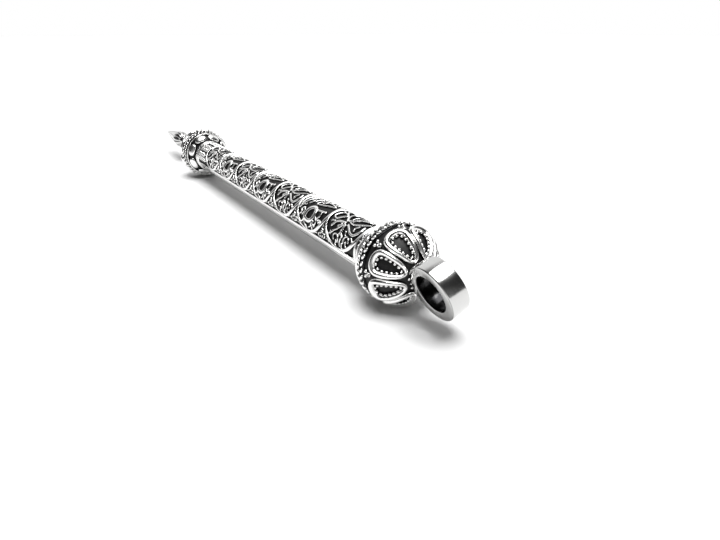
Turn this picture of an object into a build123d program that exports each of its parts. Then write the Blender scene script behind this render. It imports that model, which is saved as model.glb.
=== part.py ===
from build123d import *
import os
from math import cos, pi, radians, sin

# Slim filigree mezuzah case: a silver tube between two filigree balls, with a bail ring on the
# cap ball and a long pointed finial on the closed end. The cap ball pulls straight off the tube
# and a rolled parchment slides out behind it. Millimetres, lying on its two balls, +X from the
# finial to the bail. Everything is drawn about the tube's axis with the patterned front facing
# +Z and is then rolled and lifted into the resting pose by settle().

os.makedirs("parts", exist_ok=True)

# ---------------------------------------------------------------- driving dimensions
CENTRES = 92.0          # between the two ball centres
CAP_X = CENTRES / 2     # cap ball centre
END_X = -CENTRES / 2    # closed-end ball centre

CORE_OUT = 5.65         # oxidised inner ball, outside radius
CORE_IN = 5.25
LOOP_FOOT = 5.67        # silver wires start here, just clear of the core
PETAL_TOP = 6.55
LEAF_TOP = 6.35
BEAD_TOP = 6.22
ROPE_TOP = 6.26
BEZEL_TOP = 6.32
DRAWN_AT = 6.5          # radius at which the loop outlines are drawn

TUBE_OUT = 3.8          # outside radius of the patterned tube
TUBE_MID = 3.45         # inside radius of the lattice and of the plain back
LINER_OUT = 3.43
LINER_IN = 3.0
LINER_FROM = END_X + 3.7
LINER_TO = CAP_X - 4.85
COLLAR_OUT = 3.95
COLLAR_NEAR = 4.7       # collar faces, measured from the ball centre
COLLAR_FAR = 6.0

STRIP_FROM = 80.0       # side strips of the lattice, degrees from the front
STRIP_TO = 92.0
BACK_FROM = 94.5        # plain back half starts here, leaving a thin seam
FIELD = 78.8            # patterned field, degrees either side of the front

CIRCLES = 7
CIRCLE_R = 5.3          # measured round the curve of the tube
CIRCLE_LINE = 0.45
FIRST_CIRCLE = CAP_X - 11.3
LINE = 0.3              # width of the fine filigree wires

SPIGOT_OUT = 2.95       # runs 0.05 clear of the liner
SPIGOT_IN = 2.55
SPIGOT_LENGTH = 7.0     # inside the tube

BAIL_OUT = 4.3
BAIL_IN = 2.8
BAIL_WIDTH = 3.05
BAIL_CENTRE = 10.25     # from the cap ball centre
BAIL_FRONT = 0.5        # soldered slightly off the pole, towards the front
BAIL_SIDE = -0.5

SCROLL_OUT = 2.42
SCROLL_CORE = 0.9
SCROLL_LENGTH = 70.0
PARCHMENT = 0.2

NECK_R = 0.85
TIP_START = 21.0        # from the closed-end ball centre
TIP_END = 39.6
TIP_R = 2.4

ROLL = 22.5             # the case rests on two neighbouring petals
PETALS = 8

# Outlines on the ball: degrees from the pole, and half width in degrees round the axis.
PETAL = [(23.5, 0), (27, 13), (35, 18), (45, 20), (54, 20.7)]
PETAL += [(62, 20.7), (69.5, 19.2), (74.5, 15.8), (77.6, 11), (78.8, 0)]
LEAF = [(118.7, 0), (119.7, 10.8), (122.8, 16.6), (127.5, 18.4), (132, 17.4), (135.6, 11.2), (136.8, 0)]


# ---------------------------------------------------------------- helpers
def turned(points):
    """Solid of revolution about X from (x, radius) points."""
    profile = Plane.XZ * make_face(Polyline(*points, close=True))
    return revolve(profile, Axis.X, 360)


def pipe(x_from, x_to, inside, outside):
    return turned([(x_from, inside), (x_to, inside), (x_to, outside), (x_from, outside)])


def pipe_sector(x_from, x_to, inside, outside, start, end):
    """Part of a pipe, from `start` to `end` degrees round from the front (+Z)."""
    profile = Plane.XZ * make_face(
        Polyline((x_from, inside), (x_to, inside), (x_to, outside), (x_from, outside), close=True)
    )
    return revolve(profile.rotate(Axis.X, start), Axis.X, end - start)


def ball(radius):
    """Sphere with its poles on the tube's axis."""
    return Sphere(radius).rotate(Axis.Y, 90)


def at_cap(shape):
    return Pos(CAP_X, 0, 0) * shape


def at_end(shape):
    return Pos(END_X, 0, 0) * shape.rotate(Axis.Z, 180)


def ball_band(low, high, start, end):
    """Band round a ball with softened edges, `start` to `end` degrees from the pole."""
    ease = 2.0
    middle = (start + end) / 2
    corners = [(low, start), (low, middle), (low, end), (high - 0.15, end), (high, end - ease)]
    corners += [(high, middle), (high, start + ease), (high - 0.15, start)]
    return turned([(r * cos(radians(a)), r * sin(radians(a))) for r, a in corners])


def ball_outline(pairs, middle, along=1.0, across=1.0):
    """Closed outline seen square on to the ball at `middle` degrees from the pole."""
    right = []
    for theta, half in pairs:
        a = radians(middle + (theta - middle) * along)
        b = radians(half * across)
        u = cos(radians(middle)) * sin(a) * cos(b) - sin(radians(middle)) * cos(a)
        right.append(Vector(DRAWN_AT * u, DRAWN_AT * sin(a) * sin(b), 0))
    left = [Vector(p.X, -p.Y, 0) for p in reversed(right[1:-1])]
    return make_face(Edge.make_spline(right + left, periodic=True))


def round_the_ball(shape):
    return [shape.rotate(Axis.X, k * 360 / PETALS) for k in range(PETALS)]


def ball_plate(pairs, middle, low, high, along=1.0, across=1.0):
    """Plate of the given outline standing on the ball at `middle` degrees from the pole."""
    m = radians(middle)
    square_on = Plane(origin=(0, 0, 0), x_dir=(-sin(m), 0, cos(m)), z_dir=(cos(m), 0, sin(m)))
    outline = square_on * ball_outline(pairs, middle, along, across)
    return extrude(outline, 9, dir=square_on.z_dir) & (Sphere(high) - Sphere(low))


def ball_loop(pairs, middle, outer, inner, low, high):
    """Closed wire loop standing on the ball; `outer` and `inner` scale the outline."""
    opening = ball_plate(pairs, middle, low - 0.5, high + 0.5, *inner)
    return ball_plate(pairs, middle, low, high, *outer) - opening


def granule_clusters(radius):
    """Three grains in each gap between the petals' outer ends."""
    grains = []
    for k in range(PETALS):
        middle = (k + 0.5) * 360 / PETALS
        for theta, round_x in ((77.6, 0.0), (84.0, 3.3), (84.0, -3.3)):
            seat = LOOP_FOOT + radius + 0.01
            grain = Pos(seat * cos(radians(theta)), 0, seat * sin(radians(theta))) * Sphere(radius)
            grains.append(grain.rotate(Axis.X, middle + round_x))
    return grains


def half_core(outer_half, hole):
    """Half of the oxidised inner ball, with a round hole on the axis if `hole` is given."""
    half = Pos(5.0 if outer_half else -5.0, 0, 0) * Box(10, 20, 20)
    shell = (Sphere(CORE_OUT) - Sphere(CORE_IN)) & half
    if hole:
        shell -= turned([(-10, 0), (0, 0), (0, hole), (-10, hole)])
    return shell


def on_tube(x, s):
    """Point x along the tube and s round its surface, as seen square on from the front."""
    return Vector(x, TUBE_OUT * sin(s / TUBE_OUT), 0)


def wrapped(points):
    """Flat face from a closed polygon measured on the tube's curved surface."""
    return make_face(Polyline(*[on_tube(x, s) for x, s in points], close=True))


def oval(x, s, half_x, half_s, steps=28, tilt=0.0):
    points = []
    for k in range(steps):
        a = 2 * pi * k / steps
        dx, ds = half_x * cos(a), half_s * sin(a)
        points.append((x + dx * cos(tilt) - ds * sin(tilt), s + dx * sin(tilt) + ds * cos(tilt)))
    return points


def hoop(x, s, half_x, half_s, line, steps=28, tilt=0.0):
    """Oval wire lying on the tube."""
    outside = wrapped(oval(x, s, half_x, half_s, steps, tilt))
    return outside - wrapped(oval(x, s, half_x - line, half_s - line, steps, tilt))


def wire(points, line=LINE):
    """Wire of constant width following `points` over the tube."""
    left, right = [], []
    for k, (x, s) in enumerate(points):
        x0, s0 = points[max(k - 1, 0)]
        x1, s1 = points[min(k + 1, len(points) - 1)]
        length = ((x1 - x0) ** 2 + (s1 - s0) ** 2) ** 0.5
        nx, ns = -(s1 - s0) / length * line / 2, (x1 - x0) / length * line / 2
        left.append((x + nx, s + ns))
        right.append((x - nx, s - ns))
    return wrapped(left + right[::-1])


def arc_points(x, s, radius, start, end, steps=9):
    """Points on an arc, angles in degrees from +X towards +s."""
    turns = [radians(start + (end - start) * k / (steps - 1)) for k in range(steps)]
    return [(x + radius * cos(a), s + radius * sin(a)) for a in turns]


def raised(faces, field):
    """Stand flat faces up as wires in the wall of the tube."""
    drawn = faces[0].fuse(*faces[1:]) if len(faces) > 1 else faces[0]
    return extrude(drawn, 5, dir=(0, 0, 1)) & field


def settle(shape):
    """Roll and lift the drawing into its resting pose, centred over the origin."""
    return Pos(SHIFT_X, 0, REST) * shape.rotate(Axis.X, ROLL)


def save(name, solids):
    placed = [settle(s) for item in solids for s in item.solids()]
    export_step(Compound(children=placed), "parts/" + name + ".step")


bail_end = CAP_X + BAIL_CENTRE + BAIL_OUT
SHIFT_X = -(bail_end + END_X - TIP_END) / 2
FIELD_FROM = END_X + COLLAR_FAR
FIELD_TO = CAP_X - COLLAR_FAR

# ---------------------------------------------------------------- the two filigree balls
petals = round_the_ball(ball_loop(PETAL, 52, (1.0, 1.0), (0.77, 0.62), LOOP_FOOT, PETAL_TOP))
beads = round_the_ball(ball_loop(PETAL, 52, (0.73, 0.56), (0.6, 0.38), LOOP_FOOT, BEAD_TOP))
leaves = round_the_ball(ball_plate(LEAF, 127.5, LOOP_FOOT, LEAF_TOP))
ropes = [ball_band(LOOP_FOOT, ROPE_TOP, a, a + 10.0) for a in (89.8, 100.6)]
bezel = [ball_band(LOOP_FOOT, BEZEL_TOP, 112.8, 117.0)]
grains = granule_clusters(0.28)

bounds = Compound(children=[p.rotate(Axis.X, ROLL) for p in petals]).bounding_box()
REST = -bounds.min.Z

for side, place, hole in (("cap", at_cap, SPIGOT_OUT + 0.01), ("end", at_end, LINER_OUT + 0.01)):
    save(side + "_core_outer", [place(half_core(True, 0))])
    save(side + "_core_inner", [place(half_core(False, hole))])
    save(side + "_petals", [place(p) for p in petals])
    save(side + "_bead_loops", [place(b) for b in beads])
    save(side + "_leaves", [place(p) for p in leaves])
    save(side + "_rope_rings", [place(r) for r in ropes])
    save(side + "_bezel", [place(b) for b in bezel])
    save(side + "_grains", [place(g) for g in grains])

# ---------------------------------------------------------------- tube
save("liner_tube", [pipe(LINER_FROM, LINER_TO, LINER_IN, LINER_OUT)])
save("liner_floor", [pipe(LINER_FROM, LINER_FROM + 0.5, 0, LINER_IN - 0.01)])
save("back_shell", [pipe_sector(FIELD_FROM, FIELD_TO, TUBE_MID, TUBE_OUT, BACK_FROM, 360 - BACK_FROM)])

field = pipe_sector(FIELD_FROM, FIELD_TO, TUBE_MID, TUBE_OUT, -FIELD, FIELD)
centres = [FIRST_CIRCLE - k * 2 * CIRCLE_R for k in range(CIRCLES)]

# Side strips with the seven touching circles between them.
strip = pipe_sector(FIELD_FROM, FIELD_TO, TUBE_MID, TUBE_OUT, STRIP_FROM - 1, STRIP_TO)
lattice = strip + strip.mirror(Plane.XZ)
for x in (FIELD_FROM, FIELD_TO - 0.5):
    lattice += pipe_sector(x, x + 0.5, TUBE_MID, TUBE_OUT, -STRIP_FROM, STRIP_FROM)
for x in centres:
    ring = hoop(x, 0, CIRCLE_R + 0.05, CIRCLE_R + 0.05, CIRCLE_LINE, steps=48)
    lattice += raised([ring], pipe_sector(FIELD_FROM, FIELD_TO, TUBE_MID, TUBE_OUT, -STRIP_FROM, STRIP_FROM))
save("front_lattice", [lattice])


def tree(x):
    """Branching motif: a trunk that forks into curved boughs, with leaf loops and small hoops."""
    faces = [hoop(x, 0, 0.55, 0.55, 0.3, steps=16)]
    for angle in (35, 80, 125, 170, 215, 260, 305, 350):
        a = radians(angle)
        bend = 0.55 if angle % 2 else -0.55
        path = []
        for k in range(6):
            r = 0.45 + 0.68 * k
            swing = bend * sin(pi * k / 5)
            path.append((x + r * cos(a) - swing * sin(a), r * sin(a) + swing * cos(a)))
        faces.append(wire(path))
    for angle in (57, 192, 328):
        a = radians(angle)
        faces.append(hoop(x + 2.9 * cos(a), 2.9 * sin(a), 1.0, 0.55, 0.26, steps=18, tilt=a))
    return faces


def eye(x):
    """Open eye ring low in the circle, behind a double brow, with small hoops about it."""
    faces = [hoop(x - 0.2, -2.1, 1.3, 1.45, 0.42, steps=24)]
    faces.append(wire(arc_points(x + 1.2, -0.2, 3.1, 118, 242, steps=11), 0.34))
    faces.append(wire(arc_points(x + 1.2, -0.2, 3.9, 128, 232, steps=11), 0.34))
    faces.append(wire([(x + 0.9, -1.4), (x + 1.7, -2.4), (x + 2.2, -3.7)], 0.3))
    for angle in (-70, -35, 0, 35, 70):
        a = radians(angle)
        faces.append(hoop(x + 3.3 * cos(a), 3.3 * sin(a), 0.62, 0.62, 0.26, steps=14))
    return faces


trees, eyes = [], []
for k, x in enumerate(centres):
    if k % 2 == 0:
        trees.append(raised(tree(x), field))
    else:
        eyes.append(raised(eye(x), field))
save("tree_wires", trees)
save("eye_wires", eyes)

# Small scrolls filling the corners between circles, and the short panel at the closed end.
scrolls = []
for first, second in zip(centres, centres[1:]):
    x = (first + second) / 2
    for side in (-1, 1):
        scrolls.append(raised([hoop(x, side * 4.15, 0.62, 0.5, 0.24, steps=14)], field))
        scrolls.append(raised([wrapped(oval(x, side * 3.1, 0.22, 0.3, steps=10))], field))
for row in range(5):
    s = (row - 2) * 1.9
    for col in range(3 if abs(row - 2) < 2 else 4):
        x = FIELD_FROM + 1.25 + col * 1.45
        scrolls.append(raised([hoop(x, s, 0.62, 0.75, 0.24, steps=14)], field))
save("corner_scrolls", scrolls)

# Collars against the balls; the open end is notched at the back for the cap's tongue.
rim = [(COLLAR_NEAR, TUBE_MID), (COLLAR_FAR, TUBE_MID), (COLLAR_FAR, COLLAR_OUT)]
rim += [(COLLAR_FAR - 0.3, COLLAR_OUT), (COLLAR_FAR - 0.4, COLLAR_OUT - 0.15)]
rim += [(COLLAR_NEAR + 0.4, COLLAR_OUT - 0.15), (COLLAR_NEAR + 0.3, COLLAR_OUT), (COLLAR_NEAR, COLLAR_OUT)]
collar = turned([(-x, r) for x, r in rim])
notch = Pos(-COLLAR_NEAR, 0, -3.75) * Box(1.7, 0.8, 1.0)
save("open_collar", [at_cap(collar - notch)])
save("closed_collar", [at_end(collar)])

# ---------------------------------------------------------------- cap fittings
cone = [(-COLLAR_NEAR, SPIGOT_OUT + 0.01), (-3.9, SPIGOT_OUT + 0.01)]
cone += [(-3.9, 3.1), (-4.5, 3.65), (-COLLAR_NEAR, 3.8)]
shoulder = turned(cone) - ball(CORE_OUT + 0.01)
tongue = Pos(-COLLAR_NEAR - 0.35, 0, -3.65) * Box(0.9, 0.7, 0.28)
save("cap_shoulder", [at_cap(shoulder + tongue)])

spigot = pipe(-COLLAR_NEAR - SPIGOT_LENGTH, -3.6, SPIGOT_IN, SPIGOT_OUT)
for angle in (0, 90):
    slot = Pos(-COLLAR_NEAR - SPIGOT_LENGTH + 2.4, 0, 0) * Box(5.0, 7.0, 0.3)
    spigot -= slot.rotate(Axis.X, angle + 45)
save("cap_spigot", [at_cap(spigot)])

bail_seat_at = Pos(BAIL_CENTRE, BAIL_SIDE, BAIL_FRONT)
drum = bail_seat_at * Cylinder(BAIL_OUT + 0.01, 12).rotate(Axis.X, 90)
seat = Pos(5.6, 0, 0) * Cylinder(1.6, 2.0).rotate(Axis.Y, 90)
seat = seat - ball(LOOP_FOOT) - drum
save("bail_seat", [at_cap(seat)])

bail = Cylinder(BAIL_OUT, BAIL_WIDTH) - Cylinder(BAIL_IN, BAIL_WIDTH)
bail = fillet(bail.edges().filter_by(GeomType.CIRCLE), 0.22)
save("bail_ring", [at_cap(bail_seat_at * bail.rotate(Axis.X, 90))])

# ---------------------------------------------------------------- finial on the closed end
neck = [(5.0, 0), (TIP_START, 0), (TIP_START, 1.15), (TIP_START - 0.7, 1.3), (TIP_START - 1.4, NECK_R)]
neck += [(13.9, NECK_R), (13.5, 1.2), (12.9, 1.2), (12.5, NECK_R), (7.4, NECK_R)]
neck += [(6.6, 1.3), (6.2, 1.75), (5.0, 1.75)]
save("finial_neck", [at_end(turned(neck) - ball(LOOP_FOOT))])

point = [(TIP_START + 0.01, 0), (TIP_END, 0), (TIP_END - 0.12, 0.28), (TIP_END - 0.5, 0.45)]
point += [(TIP_START + 4.2, 2.15), (TIP_START + 2.6, TIP_R), (TIP_START + 1.2, 2.1), (TIP_START + 0.01, 1.2)]
save("finial_point", [at_end(turned(point))])

# ---------------------------------------------------------------- rolled parchment
turns = 6
outer_edge, inner_edge = [], []
for k in range(turns * 16 + 1):
    a = 2 * pi * k / 16
    r = SCROLL_OUT - (SCROLL_OUT - SCROLL_CORE) * k / (turns * 16)
    outer_edge.append((r * cos(a), r * sin(a)))
    inner_edge.append(((r - PARCHMENT) * cos(a), (r - PARCHMENT) * sin(a)))
outside = Spline(*outer_edge)
inside = Spline(*inner_edge)
ends = [Line(outside @ 0, inside @ 0), Line(outside @ 1, inside @ 1)]
sheet = make_face(Wire([outside, ends[0], inside, ends[1]]))
scroll_from = END_X + 5.0
save("parchment_scroll", [Pos(scroll_from, 0, 0) * extrude(Plane.YZ * sheet, SCROLL_LENGTH)])
middle = scroll_from + SCROLL_LENGTH / 2
save("parchment_tie", [pipe(middle - 1.5, middle + 1.5, SCROLL_OUT + 0.02, SCROLL_OUT + 0.12)])
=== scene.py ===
import math

import bmesh
import bpy
import numpy as np
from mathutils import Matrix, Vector


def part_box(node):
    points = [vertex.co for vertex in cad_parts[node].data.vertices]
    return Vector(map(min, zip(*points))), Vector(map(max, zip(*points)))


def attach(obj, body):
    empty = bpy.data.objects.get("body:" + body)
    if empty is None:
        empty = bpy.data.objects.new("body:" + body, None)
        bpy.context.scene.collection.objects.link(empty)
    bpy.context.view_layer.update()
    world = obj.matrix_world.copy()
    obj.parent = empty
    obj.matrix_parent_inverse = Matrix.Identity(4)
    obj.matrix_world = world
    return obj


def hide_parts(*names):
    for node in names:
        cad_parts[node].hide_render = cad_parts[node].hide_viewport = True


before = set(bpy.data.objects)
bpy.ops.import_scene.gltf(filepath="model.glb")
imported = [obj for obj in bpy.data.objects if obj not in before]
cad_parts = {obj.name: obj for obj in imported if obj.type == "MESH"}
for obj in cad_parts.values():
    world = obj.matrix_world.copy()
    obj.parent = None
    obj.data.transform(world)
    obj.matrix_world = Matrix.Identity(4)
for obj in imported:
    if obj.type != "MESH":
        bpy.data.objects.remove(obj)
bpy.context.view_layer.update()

# ------------------------------------------------------------------ the case's own axes
# Shapes are drawn in millimetres about the tube's axis, x towards the bail and the patterned
# front facing +z, and then rolled and lifted to where the CAD case lies.
ROLL = math.radians(22.5)
liner_low, liner_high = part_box("liner_tube")
AXIS_Z = (liner_low.z + liner_high.z) / 2
CAP = liner_high.x * 1000 + 4.85
END = liner_low.x * 1000 - 3.7
FOOT = 5.67
TUBE_R = 3.8
WALL_R = 3.44
CIRCLE_R = 5.3
FIRST = CAP - 11.3
CENTRES = [FIRST - 2 * CIRCLE_R * k for k in range(7)]
FROM, TO = END + 6.0, CAP - 6.0


def unit(v):
    return v / np.linalg.norm(v, axis=-1, keepdims=True)


def round_steps(count):
    """Points evenly round a circle of radius one."""
    a = 2 * math.pi * np.arange(count) / count
    return np.stack([np.cos(a), np.sin(a)], axis=1)


def to_row(v):
    x, y, z = v[:, 0], v[:, 1], v[:, 2]
    c, s = math.cos(ROLL), math.sin(ROLL)
    return np.stack([x / 1000, (y * c - z * s) / 1000, (y * s + z * c) / 1000 + AXIS_Z], axis=1)


# ------------------------------------------------------------------ mesh making
# Wire sections as (across, up, lit); the last column is painted light, 0 for painted shade at the wire's
# foot and 1 on its crown.
FLAT = ((-0.5, 0.0, 0.0), (-0.5, 0.62, 0.38), (-0.42, 0.86, 0.95), (-0.24, 0.98, 1.0), (0.0, 1.0, 1.0),
        (0.24, 0.98, 1.0), (0.42, 0.86, 0.95), (0.5, 0.62, 0.38), (0.5, 0.0, 0.0))
ROUND = ((-0.5, 0.0, 0.0), (-0.49, 0.3, 0.3), (-0.42, 0.62, 0.75), (-0.25, 0.9, 1.0), (0.0, 1.0, 1.0),
         (0.25, 0.9, 1.0), (0.42, 0.62, 0.75), (0.49, 0.3, 0.3), (0.5, 0.0, 0.0))


class Piece:
    """Collects closed shells of one piece, with a value for each point from 0, painted shade, to 1, fully
    lit.
    """

    def __init__(self):
        self.points, self.faces, self.rub, self.count = [], [], [], 0

    def add(self, points, faces, rub):
        self.points.append(np.asarray(points, float))
        self.faces.extend([tuple(self.count + i for i in f) for f in faces])
        self.rub.append(np.broadcast_to(np.asarray(rub, float), (len(points),)))
        self.count += len(points)

    def loft(self, rings, rub, closed):
        """Skin through equal rings of points, round a loop or capped at both ends."""
        n, m = len(rings), len(rings[0])
        faces = []
        for i in range(n if closed else n - 1):
            a, b = i * m, (i + 1) % n * m
            faces += [(a + j, a + (j + 1) % m, b + (j + 1) % m, b + j) for j in range(m)]
        if not closed:
            faces += [tuple(range(m))[::-1], tuple((n - 1) * m + j for j in range(m))]
        self.add(np.concatenate(rings), faces, np.tile(rub, n))

    def skin(self, rings, rub, closed=False):
        """The same with one painted-light value for each ring, 0 for painted shade."""
        self.loft(rings, np.zeros(len(rings[0])), closed)
        self.rub[-1] = np.repeat(rub, len(rings[0]))

    def wire(self, path, ups, width, height, section=FLAT, closed=False):
        """Wire of the given section along a path that lies on a surface facing `ups`."""
        path, ups = np.asarray(path, float), unit(np.asarray(ups, float))
        if closed:
            along = np.roll(path, -1, 0) - np.roll(path, 1, 0)
        else:
            along = np.gradient(path, axis=0)
        sides = unit(np.cross(ups, unit(along)))
        width = np.broadcast_to(width, (len(path),))
        height = np.broadcast_to(height, (len(path),))
        rings = [np.array([p + s * (a * w) + u * (b * h) for a, b, _ in section])
                 for p, u, s, w, h in zip(path, ups, sides, width, height)]
        self.loft(rings, [r for _, _, r in section], closed)

    def bead(self, centre, axes, radii, segments=10, rings=6):
        """Ellipsoid grain with the given axes (rows) and radii; the last axis points outwards."""
        points, rub = [], []
        for i in range(1, rings):
            t = math.pi * i / rings
            for j in range(segments):
                p = 2 * math.pi * j / segments
                points.append((math.sin(t) * math.cos(p), math.sin(t) * math.sin(p), math.cos(t)))
        points += [(0, 0, 1), (0, 0, -1)]
        faces = []
        for i in range(rings - 2):
            a, b = i * segments, (i + 1) * segments
            steps = [(j, (j + 1) % segments) for j in range(segments)]
            faces += [(a + j, b + j, b + k, a + k) for j, k in steps]
        top, last = len(points) - 2, (rings - 2) * segments
        faces += [(top, j, (j + 1) % segments) for j in range(segments)]
        faces += [(top + 1, last + (j + 1) % segments, last + j) for j in range(segments)]
        points = np.array(points)
        # Painted shade: each grain darkens towards its underside, where it sits on the surface.
        rub = np.clip(0.55 + 0.9 * points[:, 2], 0, 1)
        self.add(np.asarray(centre) + (points * np.asarray(radii)) @ np.asarray(axes), faces, rub)

    def turn(self, profile, start=0.0, end=360.0, steps=96, rub=1.0):
        """Closed (x, radius) profile turned about the tube's axis; angles from the front."""
        full = end - start >= 360
        rings = []
        for k in range(steps if full else steps + 1):
            a = math.radians(start + (end - start) * k / steps)
            rings.append(np.array([(x, r * math.sin(a), r * math.cos(a)) for x, r in profile]))
        self.loft(rings, np.broadcast_to(rub, (len(profile),)), full)

    def finish(self, name, body, slot, material, nodes, smooth=True):
        mesh = bpy.data.meshes.new(name)
        mesh.from_pydata(to_row(np.concatenate(self.points)).tolist(), [], self.faces)
        mesh.attributes.new("rub", "FLOAT", "POINT").data.foreach_set("value", np.concatenate(self.rub))
        mesh.validate()
        mesh.polygons.foreach_set("use_smooth", [smooth] * len(mesh.polygons))
        obj = bpy.data.objects.new(name, mesh)
        bpy.context.scene.collection.objects.link(obj)
        fix_normals(mesh)
        mesh.materials.append(material)
        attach(obj, body)
        if nodes:
            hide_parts(*nodes)
        return obj


def fix_normals(mesh):
    work = bmesh.new()
    work.from_mesh(mesh)
    bmesh.ops.recalc_face_normals(work, faces=work.faces)
    work.to_mesh(mesh)
    work.free()


def curve(points, closed=False, per=6):
    """Smooth curve through control points (Catmull-Rom), `per` steps to each span."""
    p = np.asarray(points, float)
    if closed:
        p = np.concatenate([p[-1:], p, p[:2]])
    else:
        p = np.concatenate([2 * p[:1] - p[1:2], p, 2 * p[-1:] - p[-2:-1]])
    out = []
    for i in range(1, len(p) - 2):
        for k in range(per):
            t = k / per
            a, b, c, d = p[i - 1], p[i], p[i + 1], p[i + 2]
            out.append(0.5 * (2 * b + (c - a) * t + (2 * a - 5 * b + 4 * c - d) * t * t
                              + (3 * b - a - 3 * c + d) * t ** 3))
    if not closed:
        out.append(p[-2])
    return np.array(out)


def even(path, step, closed=True):
    """Points spaced evenly along a path."""
    loop = np.concatenate([path, path[:1]]) if closed else path
    lengths = np.concatenate([[0], np.cumsum(np.linalg.norm(np.diff(loop, axis=0), axis=1))])
    count = max(2, int(round(lengths[-1] / step)))
    at = np.linspace(0, lengths[-1], count, endpoint=not closed)
    return np.stack([np.interp(at, lengths, loop[:, k]) for k in range(loop.shape[1])], axis=1)


def on_tube(points, radius=WALL_R):
    """(x, s) points to positions on the tube and outward directions."""
    points = np.asarray(points, float)
    a = points[:, 1] / TUBE_R
    ups = np.stack([np.zeros(len(a)), np.sin(a), np.cos(a)], axis=1)
    places = ups * radius
    places[:, 0] = points[:, 0]
    return places, ups


def on_ball(side, angles, radius):
    """(degrees from the pole, degrees round from the front) to positions and directions."""
    angles = np.radians(np.asarray(angles, float))
    t, p = angles[:, 0], angles[:, 1]
    out = 1.0 if side == "cap" else -1.0
    ups = np.stack([out * np.cos(t), np.sin(t) * np.sin(p), np.sin(t) * np.cos(p)], axis=1)
    return ups * radius + np.array([CAP if side == "cap" else END, 0, 0]), ups


# ------------------------------------------------------------------ materials
def nodes_of(name):
    material = bpy.data.materials.new(name)
    material.use_nodes = True
    tree = material.node_tree
    place = tree.nodes.new("ShaderNodeTexCoord").outputs["Object"]
    return material, tree, tree.nodes["Principled BSDF"], place


def noise(tree, place, scale, detail=4.0, rough=0.6, stretch=None):
    if stretch:
        mapping = tree.nodes.new("ShaderNodeMapping")
        mapping.inputs["Scale"].default_value = stretch
        tree.links.new(place, mapping.inputs["Vector"])
        place = mapping.outputs["Vector"]
    node = tree.nodes.new("ShaderNodeTexNoise")
    node.inputs["Scale"].default_value = scale
    node.inputs["Detail"].default_value = detail
    node.inputs["Roughness"].default_value = rough
    tree.links.new(place, node.inputs["Vector"])
    return node.outputs["Fac"]


def ramp(tree, value, stops):
    node = tree.nodes.new("ShaderNodeValToRGB")
    while len(node.color_ramp.elements) < len(stops):
        node.color_ramp.elements.new(0.5)
    for element, (at, shade) in zip(node.color_ramp.elements, stops):
        element.position = at
        element.color = (*shade, 1.0) if isinstance(shade, tuple) else (shade, shade, shade, 1.0)
    tree.links.new(value, node.inputs["Fac"])
    return node.outputs["Color"]


def sums(tree, kind, a, b):
    node = tree.nodes.new("ShaderNodeMath")
    node.operation = kind
    for socket, value in zip(node.inputs, (a, b)):
        if isinstance(value, float):
            socket.default_value = value
        else:
            tree.links.new(value, socket)
    return node.outputs["Value"]


def bump(tree, shader, value, strength, distance):
    node = tree.nodes.new("ShaderNodeBump")
    node.inputs["Strength"].default_value = strength
    node.inputs["Distance"].default_value = distance
    tree.links.new(value, node.inputs["Height"])
    tree.links.new(node.outputs["Normal"], shader.inputs["Normal"])


def silver(name, rough, crevices, tone=0.97):
    """Silver with fine hand polish; with `crevices`, painted shade blackens it wherever each point's
    painted-light value is low: wire feet, hollows and bores.
    """
    material, tree, shader, place = nodes_of(name)
    shader.inputs["Metallic"].default_value = 1.0
    cloud = noise(tree, place, 420.0)
    fine = noise(tree, place, 5200.0, 3.0)
    dull = (tone * 0.95, tone * 0.945, tone * 0.935)
    bright = ramp(tree, cloud, ((0.3, dull), (0.65, (tone, tone, tone * 0.99))))
    if crevices:
        # Painted shade: the per-point value, made patchy by cloud noise, mixes the colour down to near
        # black.
        rubbed = tree.nodes.new("ShaderNodeAttribute")
        rubbed.attribute_name = "rub"
        patchy = sums(tree, "MULTIPLY", sums(tree, "SUBTRACT", cloud, 0.5), 0.25)
        edge = sums(tree, "ADD", rubbed.outputs["Fac"], patchy)
        shade = ramp(tree, edge, ((0.3, 0.0), (0.6, 1.0)))
        mix = tree.nodes.new("ShaderNodeMix")
        mix.data_type = "RGBA"
        mix.inputs["A"].default_value = (0.02, 0.02, 0.021, 1.0)
        tree.links.new(shade, mix.inputs["Factor"])
        tree.links.new(bright, mix.inputs["B"])
        tree.links.new(mix.outputs["Result"], shader.inputs["Base Color"])
    else:
        tree.links.new(bright, shader.inputs["Base Color"])
    worn = ramp(tree, cloud, ((0.3, rough * 0.85), (0.7, rough * 1.2)))
    tree.links.new(worn, shader.inputs["Roughness"])
    bump(tree, shader, fine, 0.03, 0.00001)
    return material


def shade_black(name):
    """Near-black painted shade for the liner and cores seen through the openwork, with faint grey bloom and
    a grainy skin.
    """
    material, tree, shader, place = nodes_of(name)
    shader.inputs["Metallic"].default_value = 0.35
    cloud = noise(tree, place, 900.0, 5.0)
    bloom = ramp(tree, cloud, ((0.35, 0.006), (0.62, 0.014), (0.78, 0.05)))
    tree.links.new(bloom, shader.inputs["Base Color"])
    tree.links.new(ramp(tree, cloud, ((0.3, 0.62), (0.75, 0.42))), shader.inputs["Roughness"])
    bump(tree, shader, noise(tree, place, 3000.0, 4.0), 0.35, 0.00005)
    return material


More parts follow.
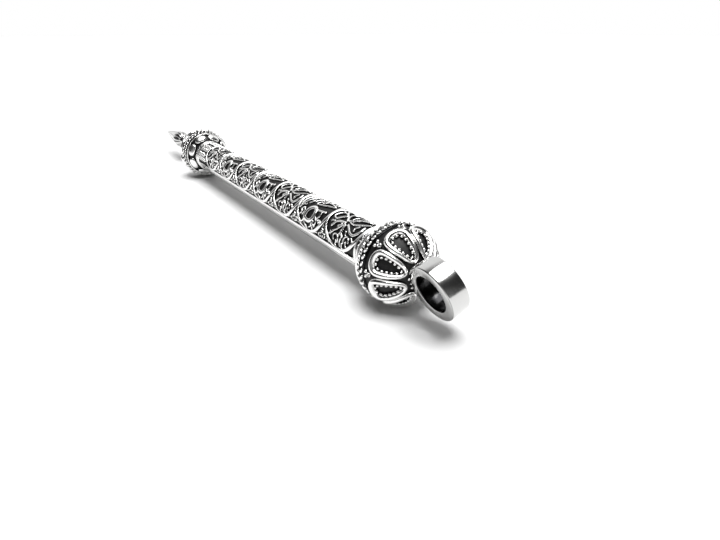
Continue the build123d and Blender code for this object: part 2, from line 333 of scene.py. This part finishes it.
def parchment(name):
    """Sheepskin parchment: warm cream, cloudy, with hair follicle specks and a soft waxy sheen."""
    material, tree, shader, place = nodes_of(name)
    cloud = noise(tree, place, 160.0, 6.0)
    specks = noise(tree, place, 2600.0, 2.0)
    shades = ((0.3, (0.58, 0.44, 0.26)), (0.5, (0.74, 0.62, 0.43)), (0.72, (0.83, 0.74, 0.57)))
    tone = ramp(tree, cloud, shades)
    mix = tree.nodes.new("ShaderNodeMix")
    mix.data_type = "RGBA"
    mix.inputs["B"].default_value = (0.42, 0.29, 0.15, 1.0)
    tree.links.new(ramp(tree, specks, ((0.66, 0.0), (0.74, 0.7))), mix.inputs["Factor"])
    tree.links.new(tone, mix.inputs["A"])
    tree.links.new(mix.outputs["Result"], shader.inputs["Base Color"])
    tree.links.new(ramp(tree, cloud, ((0.3, 0.5), (0.7, 0.72))), shader.inputs["Roughness"])
    bump(tree, shader, cloud, 0.3, 0.00015)
    return material


def linen(name):
    """Woven linen tape: crossing threads with slubs."""
    material, tree, shader, place = nodes_of(name)
    shader.inputs["Roughness"].default_value = 0.85
    warp = noise(tree, place, 2400.0, 2.0, 0.5, (0.12, 1.0, 1.0))
    weft = noise(tree, place, 2400.0, 2.0, 0.5, (1.0, 0.12, 0.12))
    weave = sums(tree, "MULTIPLY", warp, weft)
    threads = ramp(tree, weave, ((0.15, (0.55, 0.5, 0.4)), (0.35, (0.83, 0.79, 0.7))))
    tree.links.new(threads, shader.inputs["Base Color"])
    bump(tree, shader, weave, 0.5, 0.00008)
    return material


WIRE_SILVER = silver("filigree silver", 0.24, True)
PLAIN_SILVER = silver("polished silver", 0.17, True, 0.66)
CAD_SILVER = silver("turned silver", 0.2, False)
SHADE_BLACK = shade_black("blackened silver")
PARCHMENT = parchment("parchment")
LINEN = linen("linen tape")

# ------------------------------------------------------------------ filigree balls
# Centre lines on the ball: (degrees from the pole, half width in degrees round the axis).
PETAL = ((26.5, 0.0), (29.0, 8.6), (35.5, 14.0), (44.5, 16.0), (53.0, 16.8), (61.0, 16.9), (68.0, 15.6),
         (72.7, 11.8), (75.0, 6.2), (75.6, 0.0))
BEADED = ((33.0, 0.0), (36.0, 5.2), (43.0, 8.4), (52.0, 9.8), (60.0, 9.9), (66.0, 7.8), (68.8, 4.4),
          (69.7, 0.0))
# Share of a leaf's outline at each height above the ball.
DOME = ((1.0, 0.0), (0.99, 0.3), (0.94, 0.46), (0.82, 0.56), (0.6, 0.63), (0.3, 0.67), (0.04, 0.68))
LEAF = ((118.2, 0.0), (119.5, 11.2), (122.8, 17.4), (127.5, 19.0), (132.0, 17.8), (135.5, 11.4),
        (136.7, 0.0))


def loop(half, turn):
    """Closed loop of (from pole, round) angles from half an outline, turned about the axis."""
    right = [(t, turn + h) for t, h in half]
    left = [(t, turn - h) for t, h in half[1:-1]]
    return np.array(right + left[::-1])


def make_ball(side, body):
    petals, beaded, leaves, grains = Piece(), Piece(), Piece(), Piece()
    for k in range(8):
        turn = 45.0 * k
        line = curve(loop(PETAL, turn), True, 5)
        places, ups = on_ball(side, line, FOOT)
        share = np.clip((line[:, 0] - 27.0) / 30.0, 0, 1)
        petals.wire(places, ups, 0.6 + 0.36 * share, 0.7 + 0.17 * share, ROUND, True)
        places, ups = on_ball(side, curve(loop(BEADED, turn), True, 8), FOOT + 0.01)
        for centre in even(places, 0.68):
            out = unit(centre - np.array([CAP if side == "cap" else END, 0, 0]))
            near = places[np.argsort(np.linalg.norm(places - centre, axis=1))[:2]]
            along = unit(near[1] - near[0])
            along = unit(along - out * (along @ out))
            beaded.bead(centre + out * 0.26, (along, np.cross(out, along), out), (0.26, 0.19, 0.26))
        # The strand under the beads is all painted shade.
        beaded.wire(places, ups, 0.15, 0.12, [(a, b, 0.0) for a, b, _ in ROUND], True)
        outline = curve(loop(LEAF, turn), True, 3)
        middle = np.array([127.5, turn])
        rings = [on_ball(side, middle + (outline - middle) * share, FOOT + high)[0] for share, high in DOME]
        # Painted shade at each leaf's foot, lighter towards its crown.
        leaves.skin(rings, (0.0, 0.3, 0.75, 1.0, 1.0, 1.0, 1.0))
        for theta, shift, size in ((84.0, 3.4, 0.27), (84.0, -3.4, 0.27)):
            places, ups = on_ball(side, [(theta, turn + 22.5 + shift)], FOOT + 0.02 + size)
            grains.bead(places[0], axes_for(ups[0]), (size, size, size))
        ring = np.array([78.0, turn + 22.5]) + 2.5 * round_steps(14)
        places, ups = on_ball(side, ring, FOOT + 0.02)
        grains.wire(places, ups, 0.22, 0.44, ROUND, True)
        places, ups = on_ball(side, [(20.0, turn + 22.5), (17.5, turn)], FOOT + 0.14)
        for place, up in zip(places, ups):
            grains.bead(place, axes_for(up), (0.2, 0.2, 0.22))
    petals.finish(side + "-petal-wires", body, "filigree_silver", WIRE_SILVER, [side + "_petals"])
    beaded.finish(side + "-beaded-loops", body, "filigree_silver", WIRE_SILVER, [side + "_bead_loops"])
    leaves.finish(side + "-domed-leaves", body, "filigree_silver", WIRE_SILVER, [side + "_leaves"])
    grains.finish(side + "-granules", body, "filigree_silver", WIRE_SILVER, [side + "_grains"])

    ropes = Piece()
    for theta, hand in ((94.8, 1.0), (105.6, -1.0)):
        rope(ropes, side, theta, hand)
    ropes.finish(side + "-twisted-ropes", body, "filigree_silver", WIRE_SILVER, [side + "_rope_rings"])

    bezel = Piece()
    ring = [(114.9, 360.0 * k / 96) for k in range(96)]
    places, ups = on_ball(side, ring, FOOT)
    bezel.wire(places, ups, 0.34, 0.62, ROUND, True)
    bezel.finish(side + "-bezel-ring", body, "polished_silver", WIRE_SILVER, [side + "_bezel"])


def axes_for(up):
    side = unit(np.cross(up, (0.3, 0.9, 0.2)))
    return side, np.cross(up, side), up


def rope(piece, side, theta, hand, twists=36, slant=27.0):
    """Twisted wire laid round the ball: its strands cross as a row of slanted grains."""
    places, ups = on_ball(side, [(theta, 3.0 * k) for k in range(120)], FOOT)
    # The core wire under the slanted grains is all painted shade.
    piece.wire(places, ups, 0.66, 0.22, [(a, b, 0.0) for a, b, _ in ROUND], True)
    for k in range(twists):
        spot, up = on_ball(side, [(theta, 360.0 * (k + 0.25 * hand) / twists)], FOOT + 0.33)
        down, _ = on_ball(side, [(theta + 90.0, 360.0 * (k + 0.25 * hand) / twists)], 1.0)
        across = down[0] - np.array([CAP if side == "cap" else END, 0, 0])
        along = np.cross(up[0], across)
        a = math.radians(hand * slant)
        lie = math.cos(a) * along + math.sin(a) * across
        piece.bead(spot[0], (lie, np.cross(up[0], lie), up[0]), (0.47, 0.21, 0.29), 12, 8)


make_ball("cap", "cap")
make_ball("end", "case")

# ------------------------------------------------------------------ patterned tube
lattice = Piece()


def slab(piece, x_from, x_to, start, end, low, high, steps, ease=0.07):
    """Curved wall panel between two angles from the front, with softened long edges."""
    a0, a1 = math.radians(start), math.radians(end)
    soft = ease / high
    section = [(a0, low), (a0, high - ease), (a0 + soft * 0.35, high - ease * 0.3), (a0 + soft, high)]
    for k in range(1, steps):
        section.append((a0 + soft + (a1 - a0 - 2 * soft) * k / steps, high))
    section += [(a1 - soft, high), (a1 - soft * 0.35, high - ease * 0.3), (a1, high - ease), (a1, low)]
    section += [(a1 + (a0 - a1) * k / steps, low) for k in range(1, steps)]
    # Painted shade: the panel's inner face and the feet of its side walls go black.
    rub = [0.0 if r <= low else 1.0 for _, r in section]
    rings = []
    for x in np.linspace(x_from, x_to, 9):
        rings.append(np.array([(x, r * math.sin(a), r * math.cos(a)) for a, r in section]))
    piece.loft(rings, rub, False)


for side in (-1, 1):
    slab(lattice, FROM, TO, side * 80.0, side * 92.0, WALL_R, TUBE_R, 5)
for x in CENTRES:
    circle = round_steps(72)
    places, ups = on_tube(np.array([x, 0.0]) + circle * (CIRCLE_R * 0.99, CIRCLE_R))
    wide = 0.52 + 0.12 * circle[:, 0]
    lattice.wire(places, ups, wide, TUBE_R - WALL_R, FLAT, True)
for x in (FROM + 0.22, TO - 0.22):
    places, ups = on_tube([(x, s) for s in np.linspace(-5.35, 5.35, 41)])
    lattice.wire(places, ups, 0.42, TUBE_R - WALL_R)
lattice.finish("pierced-front", "case", "filigree_silver", WIRE_SILVER, ["front_lattice"])


def tube_wire(piece, x, points, width=0.28, closed=False, height=None, per=6):
    """Wire through (along, round) control points measured from a circle's centre."""
    line = curve(np.asarray(points, float) + np.array([x, 0.0]), closed, per)
    places, ups = on_tube(line)
    tall = (TUBE_R - WALL_R) * 0.94 if height is None else height
    piece.wire(places, ups, width, tall, FLAT, closed)


def tube_grain(piece, x, s, size=0.17):
    places, ups = on_tube([(x, s)], TUBE_R - 0.04 - size)
    piece.bead(places[0], axes_for(ups[0]), (size, size, size * 1.15), 8, 6)


def tube_squiggle(piece, x, u, s, length=0.9):
    """Short S-curled wire that points towards the circle's middle."""
    a = math.atan2(s, u) + 0.5
    shape = ((-0.5, 0.12), (-0.25, 0.24), (0.0, 0.0), (0.25, -0.24), (0.5, -0.1))
    c, d = length * math.cos(a), length * math.sin(a)
    tube_wire(piece, x, [(u + p * c - q * d, s + p * d + q * c) for p, q in shape], 0.2, per=3)


# Branching motif, as (control points, width, closed).
TREE = (
    (((-0.6, 0.2), (-1.3, 1.2), (-1.3, 2.2), (-0.3, 2.8), (1.2, 2.9), (3.2, 2.5), (1.6, 1.5),
      (0.5, 0.4)), 0.34, True),
    (((-0.5, -0.1), (-1.2, 0.6), (-2.2, 1.2), (-3.2, 1.9), (-3.6, 2.9)), 0.36, False),
    (((-1.9, 1.0), (-2.5, 0.2), (-3.3, -0.5), (-4.2, -0.2), (-4.1, 0.7), (-3.3, 1.4)), 0.28, True),
    (((-0.4, -0.5), (-1.6, -0.6), (-2.6, -1.0), (-3.2, -2.1)), 0.38, False),
    (((-0.2, -0.7), (-0.8, -1.5), (-1.4, -2.2), (-2.0, -2.6)), 0.26, False),
    (((0.0, -0.8), (0.1, -1.7), (0.3, -2.5), (0.9, -3.0)), 0.34, False),
    (((0.5, -0.6), (1.3, -1.1), (2.2, -1.7), (3.3, -1.8), (4.2, -0.9), (4.2, 0.4)), 0.4, False),
    (((0.4, -0.1), (1.6, -0.1), (2.6, 0.3), (3.6, 0.9), (4.4, 1.4)), 0.26, False),
    (((2.7, -1.2), (2.7, -0.5), (3.2, 0.1)), 0.24, False),
    (((-1.4, -4.0), (-1.6, -3.2), (-0.9, -2.9), (-0.2, -3.3), (-0.2, -4.2)), 0.24, False),
    (((0.7, -3.1), (0.5, -3.9), (0.7, -4.6)), 0.24, False),
    (((1.5, -3.9), (1.5, -3.0), (2.1, -2.5), (2.8, -2.8), (2.9, -3.4)), 0.24, False),
    (((0.1, 0.6), (0.2, 1.6), (0.9, 2.1), (1.8, 2.2)), 0.22, False),
    (((-2.4, 2.4), (-1.8, 3.4), (-0.8, 3.8), (-0.2, 3.5)), 0.26, False),
    (((0.4, 3.6), (1.2, 4.2), (2.2, 3.9), (2.7, 3.3)), 0.26, False),
    (((-1.6, 4.2), (-0.6, 4.7), (0.4, 4.5)), 0.22, False),
)
TREE_CURLS = ((-2.3, -3.0), (-2.9, -3.3), (-3.5, -1.1), (-0.1, -2.4), (1.4, -2.1), (-0.7, -4.4),
              (1.2, -4.4), (2.3, -3.8), (3.6, -2.6), (3.9, 2.4), (-2.7, 3.6), (-3.9, 1.6), (1.8, 3.1),
              (-1.2, -1.3))
# Eye motif: almond ring with a crescent brow, legs and small curls.
EYE = (
    (((-1.5, -3.2), (-1.5, -2.2), (-1.1, -1.3), (-0.2, -0.7), (0.7, -0.9), (1.15, -1.9), (0.9, -2.9),
      (-0.1, -3.5)), 0.74, True),
    (((-1.5, -3.3), (-2.0, -4.0), (-2.9, -4.4)), 0.3, False),
    (((-1.5, -3.3), (-1.1, -4.3), (-0.3, -5.0)), 0.32, False),
    (((-4.3, -2.0), (-4.4, -0.5), (-4.1, 1.0), (-3.3, 2.4), (-2.1, 3.5)), 0.34, False),
    (((-4.3, -2.0), (-3.6, -0.3), (-3.0, 1.2), (-2.1, 3.5)), 0.3, False),
    (((1.3, -0.9), (2.3, -0.8), (3.9, -0.6)), 0.34, False),
    (((2.9, -0.8), (3.0, -1.7), (2.6, -2.3)), 0.26, False),
    (((1.9, -2.2), (2.6, -2.9), (2.3, -4.0)), 0.26, False),
    (((-0.6, 0.2), (-0.2, 1.2), (0.9, 1.9), (2.5, 1.9), (3.9, 1.4), (2.4, 0.9), (1.1, 0.5)), 0.3, True),
    (((-1.6, 0.4), (-1.4, 1.5), (-0.6, 2.5), (0.7, 3.2), (2.3, 3.2)), 0.26, False),
    (((-2.6, -0.4), (-2.1, 0.4), (-2.4, 1.2)), 0.24, False),
    (((-3.6, -3.2), (-2.9, -2.6), (-3.3, -2.0), (-2.7, -1.5)), 0.24, False),
    (((-2.5, -3.0), (-2.2, -2.2), (-2.5, -1.5)), 0.22, False),
    (((0.3, -4.6), (1.1, -4.2), (1.3, -3.5)), 0.24, False),
    (((-0.8, 4.4), (0.3, 4.0), (1.4, 4.3), (2.4, 3.9)), 0.24, False),
    (((-2.2, 2.3), (-1.6, 3.2), (-1.8, 4.0)), 0.22, False),
)
EYE_CURLS = ((-4.4, 1.9), (-3.5, 3.3), (-2.6, 1.9), (3.9, -2.6), (1.2, 2.5), (3.6, 2.5), (-0.9, 2.0),
             (0.2, 2.6), (-1.1, 3.6), (-3.7, -3.9), (-3.3, -1.0), (3.3, -2.7), (0.6, 1.2), (-0.4, 3.4),
             (1.7, -4.4), (2.9, 2.6), (1.8, -3.4), (-2.9, 0.6))

trees, eyes, corners = Piece(), Piece(), Piece()
for k, x in enumerate(CENTRES):
    piece, wires, curls = (trees, TREE, TREE_CURLS) if k % 2 == 0 else (eyes, EYE, EYE_CURLS)
    for points, width, closed in wires:
        tube_wire(piece, x, points, width, closed)
    for u, s in curls:
        tube_squiggle(piece, x, u, s)
trees.finish("tree-motifs", "case", "filigree_silver", WIRE_SILVER, ["tree_wires"])
eyes.finish("eye-motifs", "case", "filigree_silver", WIRE_SILVER, ["eye_wires"])

# Curled wires and grains in the corners between circles.
CORNER = (
    (((-0.1, 3.3), (0.3, 3.7), (0.0, 4.1), (-0.3, 3.8)), 0.17),
    (((0.3, 4.1), (0.9, 4.2), (1.0, 4.75), (0.4, 4.9), (0.2, 4.5)), 0.18),
    (((-0.3, 4.3), (-1.0, 4.4), (-1.1, 4.85), (-0.6, 4.95), (-0.3, 4.7)), 0.18),
    (((1.5, 4.7), (2.1, 4.75), (2.5, 5.0)), 0.16),
    (((-1.6, 4.7), (-2.2, 4.75), (-2.6, 5.0)), 0.16),
)
for a, b in zip(CENTRES, CENTRES[1:]):
    x = (a + b) / 2
    for side in (-1, 1):
        for points, width in CORNER:
            tube_wire(corners, x, [(u, side * s) for u, s in points], width)
        for u, s in ((0.0, 2.9), (-0.05, 4.95)):
            tube_grain(corners, x + u, side * s, 0.13)
# Rows of curls fill the short panel at the closed end.
for row in range(-3, 4):
    s = row * 1.35
    edge = CENTRES[-1] - math.sqrt(max(0.0, CIRCLE_R ** 2 - s * s)) - 0.35
    x, flip = FROM + 0.75, 1 if row % 2 else -1
    while x + 0.9 < edge:
        shape = ((0.0, -0.45), (0.35, 0.0), (0.0, 0.45), (0.6, 0.5), (0.75, 0.0), (0.55, -0.3))
        tube_wire(corners, x, [(u, s + flip * v) for u, v in shape], 0.2)
        x += 1.15
    tube_grain(corners, min(x + 0.1, edge), s, 0.15)
corners.finish("corner-curls", "case", "filigree_silver", WIRE_SILVER, ["corner_scrolls"])

back = Piece()
slab(back, FROM, TO, 94.5, 265.5, WALL_R, TUBE_R, 48)
back.finish("plain-back", "case", "polished_silver", PLAIN_SILVER, ["back_shell"])


def collar(side, name, node, notch):
    """Rimmed band against a ball, with rows of punched grains in its channel."""
    centre, out = (CAP, -1.0) if side == "cap" else (END, 1.0)
    piece = Piece()
    profile = [(4.7, 3.46), (4.7, 3.86), (4.76, 3.94), (4.92, 3.95), (5.02, 3.8)]
    profile += [(5.68, 3.8), (5.78, 3.95), (5.94, 3.94), (6.0, 3.86), (6.0, 3.46)]
    # Painted shade: black on the inner face, grey in the grained channel, full light on the rims.
    rub = [0.0, 0.7, 1.0, 1.0, 0.4, 0.4, 1.0, 1.0, 0.7, 0.0]
    start, end = (186.5, 533.5) if notch else (0.0, 360.0)
    piece.turn([(centre + out * x, r) for x, r in profile], start, end, 120, rub)
    if notch:
        tail = [(5.55, 3.46), (5.55, 3.8)] + profile[5:]
        piece.turn([(centre + out * x, r) for x, r in tail], 173.4, 186.6, 6, [0.0, 0.4] + rub[5:])
    for k in range(66):
        angle = 2 * math.pi * (k + 0.5) / 66
        if notch and abs(math.degrees(angle) - 180.0) < 9.0:
            continue
        up = np.array([0.0, math.sin(angle), math.cos(angle)])
        x = centre + out * (5.22 if k % 2 else 5.48)
        piece.bead(up * 3.79 + np.array([x, 0, 0]), axes_for(up), (0.15, 0.15, 0.12), 8, 5)
    piece.finish(name, "case", "filigree_silver", WIRE_SILVER, [node])


collar("cap", "open-collar", "open_collar", True)
collar("end", "closed-collar", "closed_collar", False)

# ------------------------------------------------------------------ bail and finial
bail = Piece()
centre = np.array([CAP + 10.25, -0.5, 0.5])
half, inner, outer, soft = 1.525, 2.8, 4.3, 0.22
section = []
for r, w, start in ((outer - soft, half - soft, 0), (inner + soft, half - soft, 90),
                    (inner + soft, soft - half, 180), (outer - soft, soft - half, 270)):
    for k in range(6):
        a = math.radians(start + 18 * k)
        section.append((r + soft * math.cos(a), w + soft * math.sin(a)))
rings = []
for k in range(128):
    a = 2 * math.pi * k / 128
    out = np.array([math.cos(a), 0, math.sin(a)])
    rings.append(np.array([centre + out * r + np.array([0, w, 0]) for r, w in section]))
# Painted shade: the band's outer rims are greyed and its bore darkened, standing in for dark reflections.
edges = [0.42 if r > outer - 0.12 and abs(w) > half - 0.12 else 1.0 for r, w in section]
edges = [0.3 if r < inner + 0.12 else edge for edge, (r, w) in zip(edges, section)]
bail.loft(rings, edges, True)
bail.finish("bail-band", "cap", "polished_silver", PLAIN_SILVER, ["bail_ring"])


def turned(name, body, slot, material, node, profile, at, out, rub=1.0):
    """Turned piece on the axis from (distance from the ball centre, radius) control points."""
    piece = Piece()
    loop_points = [(at + out * x, max(r, 0.004)) for x, r in profile]
    piece.turn(loop_points, steps=64, rub=rub)
    return piece.finish(name, body, slot, material, [node])


neck = [(5.6, 0.0), (5.42, 1.7), (5.6, 1.75), (6.0, 1.72), (6.3, 1.6), (6.6, 1.25), (7.0, 0.98), (7.6, 0.86),
        (12.3, 0.84), (12.6, 0.95), (12.8, 1.12), (13.0, 1.2), (13.3, 1.2), (13.5, 1.12), (13.7, 0.95),
        (14.0, 0.84), (19.4, 0.84), (19.8, 0.95), (20.1, 1.2), (20.35, 1.3), (20.7, 1.28), (20.95, 1.18),
        (20.99, 0.0)]
turned("finial-neck", "case", "polished_silver", PLAIN_SILVER, "finial_neck", neck, END, -1.0)
tip = [(21.01, 0.004), (21.03, 1.2), (21.5, 1.62), (22.1, 2.0), (22.8, 2.25), (23.6, 2.38), (24.4, 2.36),
       (25.4, 2.2), (28.0, 1.88), (32.0, 1.38), (36.0, 0.88), (38.6, 0.55), (39.2, 0.44), (39.5, 0.28),
       (39.59, 0.004)]
flutes = Piece()
rings, grooves = [], []
for k in range(120):
    a = 2 * math.pi * k / 120
    grooves.append(max(0.0, math.cos(10 * a)) ** 3)
    section = [(x, r * (1 - 0.09 * grooves[k] * min(1.0, r))) for x, r in tip]
    rings.append(np.array([(END - x, r * math.sin(a), r * math.cos(a)) for x, r in section]))
# Painted shade greys the whole point and darkens it further in its grooves.
flutes.skin(rings, [0.6 - 0.2 * groove for groove in grooves], True)
flutes.finish("finial-point", "case", "polished_silver", PLAIN_SILVER, ["finial_point"])

# ------------------------------------------------------------------ rolled parchment
low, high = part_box("parchment_scroll")
x_from, x_to = low.x * 1000, high.x * 1000
sheet = Piece()
turns, steps = 6, 40
outer_r, core_r, thick = 2.42, 0.9, 0.2
face = []
for k in range(turns * steps + 1):
    face.append((2 * math.pi * k / steps, outer_r - (outer_r - core_r) * k / (turns * steps)))
section = [(r, a) for a, r in face] + [(r - thick, a) for a, r in reversed(face)]
rings = []
for x in np.linspace(x_from, x_to, 15):
    rings.append(np.array([(x, r * math.cos(a), r * math.sin(a)) for r, a in section]))
sheet.loft(rings, np.ones(len(section)), False)
sheet.finish("parchment-roll", "scroll", "parchment", PARCHMENT, ["parchment_scroll"])

# CAD pieces whose shape stays get their finished materials; the liner and the ball cores get the near-black
# painted shade seen through the openwork.
for node, material in (("liner_tube", SHADE_BLACK), ("liner_floor", SHADE_BLACK), ("cap_core_outer", SHADE_BLACK),
                       ("cap_core_inner", SHADE_BLACK), ("end_core_outer", SHADE_BLACK), ("end_core_inner", SHADE_BLACK),
                       ("cap_spigot", CAD_SILVER), ("cap_shoulder", CAD_SILVER),
                       ("bail_seat", CAD_SILVER), ("parchment_tie", LINEN)):
    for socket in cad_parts[node].material_slots:
        socket.material = material

# ------------------------------------------------------------------ floor, light and camera
material, tree, shader, place = nodes_of("pale floor")
paint = ramp(tree, noise(tree, place, 60.0, 5.0), ((0.3, 0.86), (0.7, 0.9)))
tree.links.new(paint, shader.inputs["Base Color"])
shader.inputs["Roughness"].default_value = 0.75
mesh = bpy.data.meshes.new("floor")
mesh.from_pydata([(-3, -3, 0), (3, -3, 0), (3, 3, 0), (-3, 3, 0)], [], [(0, 1, 2, 3)])
mesh.materials.append(material)
floor = bpy.data.objects.new("floor", mesh)
bpy.context.scene.collection.objects.link(floor)


def aim(obj, place, target):
    obj.location = place
    obj.rotation_euler = (Vector(target) - Vector(place)).to_track_quat("-Z", "Y").to_euler()


sun = bpy.data.lights.new("window", "SUN")
sun.energy = 3.75
sun.angle = math.radians(44.0)
sun_obj = bpy.data.objects.new("window", sun)
bpy.context.scene.collection.objects.link(sun_obj)
aim(sun_obj, (0.1, 0.02, 1.0), (0.0, 0.0, 0.0))

# The room: white on the window's side and overhead, darker behind the camera.
world = bpy.data.worlds.new("studio")
world.use_nodes = True
tree = world.node_tree
facing = tree.nodes.new("ShaderNodeVectorMath")
facing.operation = "DOT_PRODUCT"
facing.inputs[1].default_value = (-0.8, 0.5, 0.33)
tree.links.new(tree.nodes.new("ShaderNodeTexCoord").outputs["Generated"], facing.inputs[0])
side = sums(tree, "MULTIPLY_ADD", facing.outputs["Value"], 0.5)
side.node.inputs[2].default_value = 0.5
tree.links.new(ramp(tree, side, ((0.12, 0.24), (0.3, 0.03), (0.5, 0.015), (0.8, 0.07), (0.9, 1.0))),
               tree.nodes["Background"].inputs["Color"])
tree.nodes["Background"].inputs["Strength"].default_value = 1.0
bpy.context.scene.world = world
bpy.context.scene.view_settings.view_transform = "Standard"

camera_data = bpy.data.cameras.new("camera")
camera_data.lens = 27.0
camera_data.sensor_width = 36.0
camera_data.clip_start = 0.005
camera = bpy.data.objects.new("camera", camera_data)
bpy.context.scene.collection.objects.link(camera)
eye_at = np.array([CAP / 1000, 0.0, AXIS_Z]) + np.array([0.05903, -0.04351, 0.03157])
aim(camera, eye_at, eye_at + np.array([-0.774, 0.485, -0.408]))
bpy.context.scene.camera = camera
